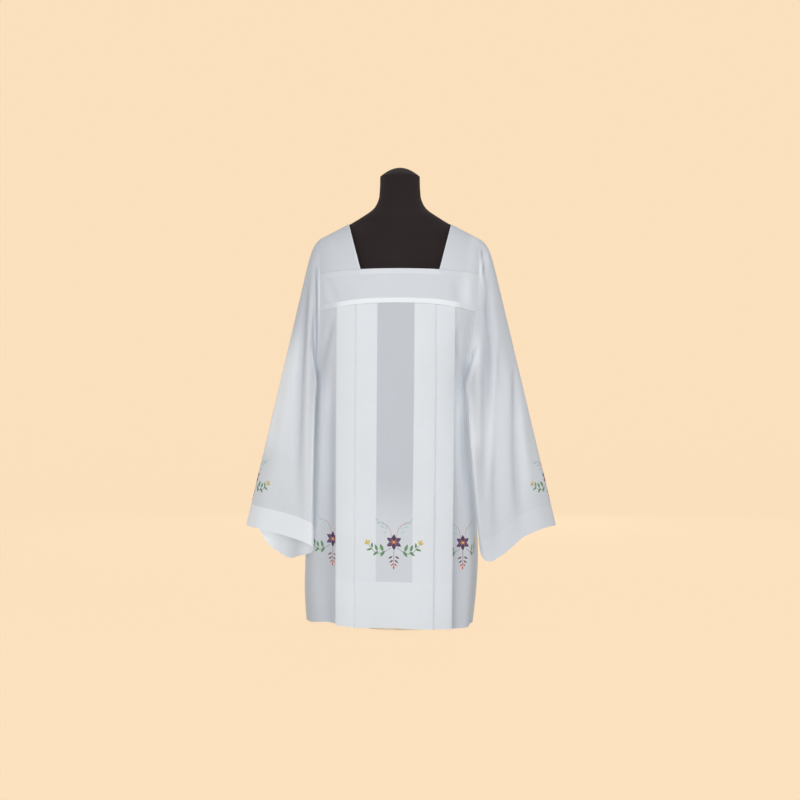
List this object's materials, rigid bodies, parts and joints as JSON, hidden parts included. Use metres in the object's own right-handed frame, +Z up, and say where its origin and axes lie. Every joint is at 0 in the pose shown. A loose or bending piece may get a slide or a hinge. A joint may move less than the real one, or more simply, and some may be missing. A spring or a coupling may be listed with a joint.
{
  "type": "surplice on a dress form",
  "caption": "Square-necked white surplice with knife pleats under a yoke band and wide sleeves, worn by a limbless dress form on a low round stand.",
  "frame": {"origin": "centre of the stand's round base where it meets the floor", "axes": "+Z up, the front faces -Y, +X is the wearer's left"},
  "size_m": [0.7735, 0.3386, 1.1389],
  "materials": {
    "white_cloth": "fine white polyester weave, matt",
    "form_jersey": "black jersey over a firm torso, matt",
    "stand_steel": "satin"
  },
  "bodies": {
    "root": {"front_skirt": "white_cloth", "back_skirt": "white_cloth", "front_yoke": "white_cloth", "back_yoke": "white_cloth", "right_shoulder": "white_cloth", "left_shoulder": "white_cloth", "right_sleeve": "white_cloth", "left_sleeve": "white_cloth", "dress_form": "form_jersey", "neck_cap": "form_jersey", "stand_pole": "stand_steel", "stand_base": "stand_steel"}
  },
  "joints": []
}
